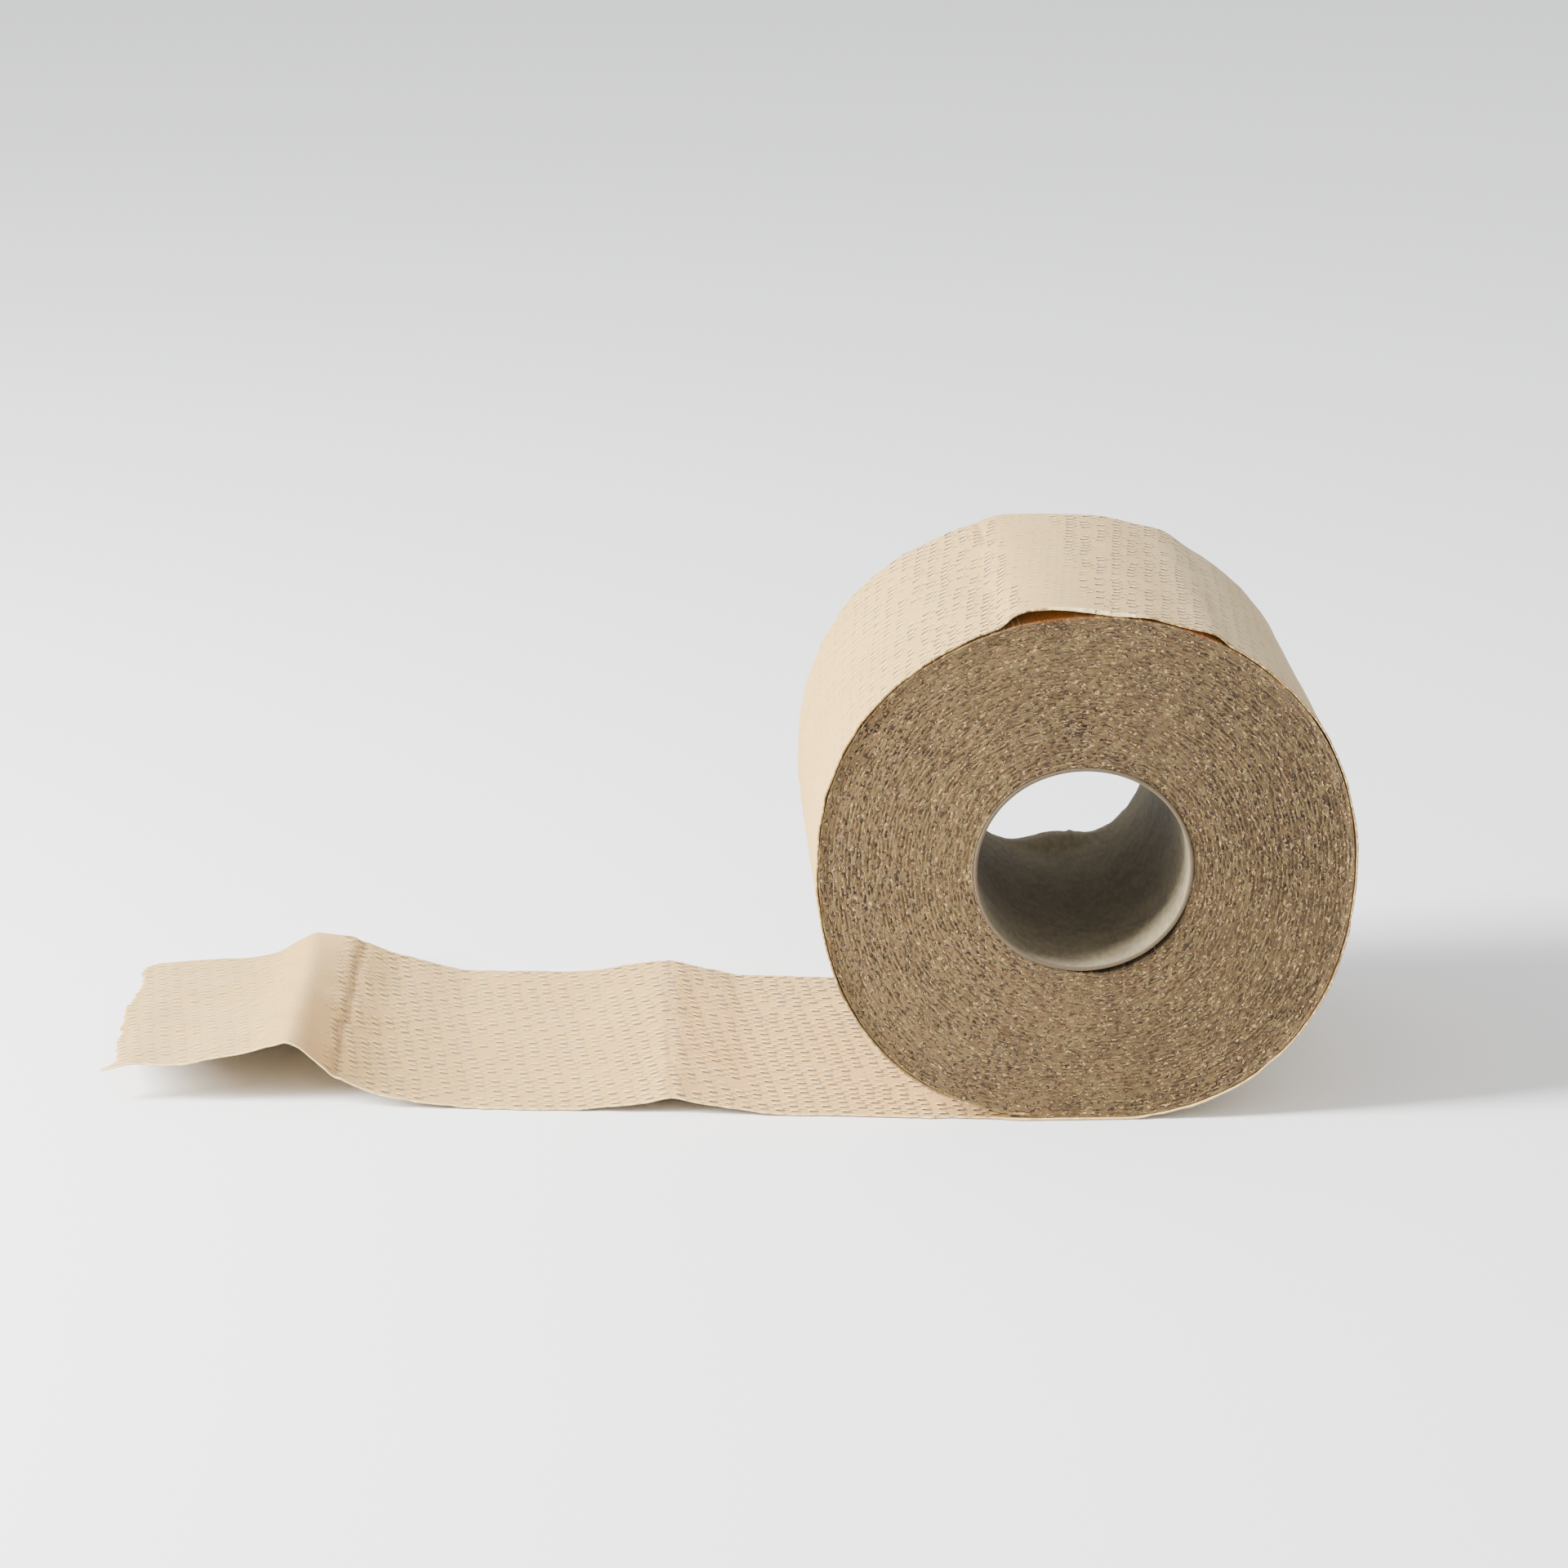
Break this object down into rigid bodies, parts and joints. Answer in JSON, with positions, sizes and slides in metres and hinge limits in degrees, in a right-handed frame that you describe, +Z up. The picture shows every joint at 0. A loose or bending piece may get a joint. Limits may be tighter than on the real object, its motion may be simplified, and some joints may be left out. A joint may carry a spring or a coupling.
{
  "type": "toilet paper roll",
  "caption": "Soft wound roll of embossed tissue on a cardboard core, lying on its side with a long loose end that trails over the floor, humps up and ends in a torn edge.",
  "frame": {"origin": "on the core's axis, half way along the roll's width", "axes": "the core's axis runs along Y, with the front end at -Y, +Z up, and the loose end trails towards -X over the floor"},
  "size_m": [0.247, 0.1113, 0.1036],
  "materials": {
    "tissue": "soft matte embossed tissue, unbleached cream, with rough grey-brown cut ends",
    "greyboard": "matte recycled greyboard, spiral wound"
  },
  "bodies": {
    "root": {"paper_web": "tissue", "core_tube": "greyboard"}
  },
  "joints": []
}
